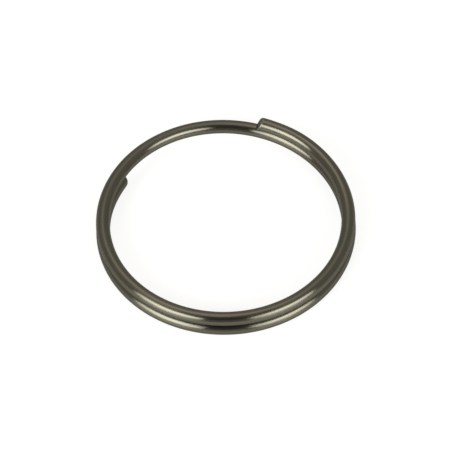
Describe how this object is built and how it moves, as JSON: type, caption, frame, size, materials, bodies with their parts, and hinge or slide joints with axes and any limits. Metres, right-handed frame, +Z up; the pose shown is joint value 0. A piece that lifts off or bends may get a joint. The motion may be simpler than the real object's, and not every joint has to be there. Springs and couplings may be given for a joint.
{
  "type": "split ring",
  "caption": "Round spring-wire split ring: a close double coil with overlapping cut ends, which keys, tags or links are wound onto and then held in its eye.",
  "frame": {"origin": "on the coil's axis, in the plane that the lower turn rests on", "axes": "+Z up along the coil's axis, -Y towards the viewer of the picture, +X to the viewer's right; the wire's upper end is at the back, right of the middle"},
  "size_m": [0.0281, 0.0281, 0.0038],
  "materials": {
    "wire": "polished drawn spring steel wire with a black nickel plate"
  },
  "bodies": {
    "root": {"split_ring": "wire"}
  },
  "joints": []
}
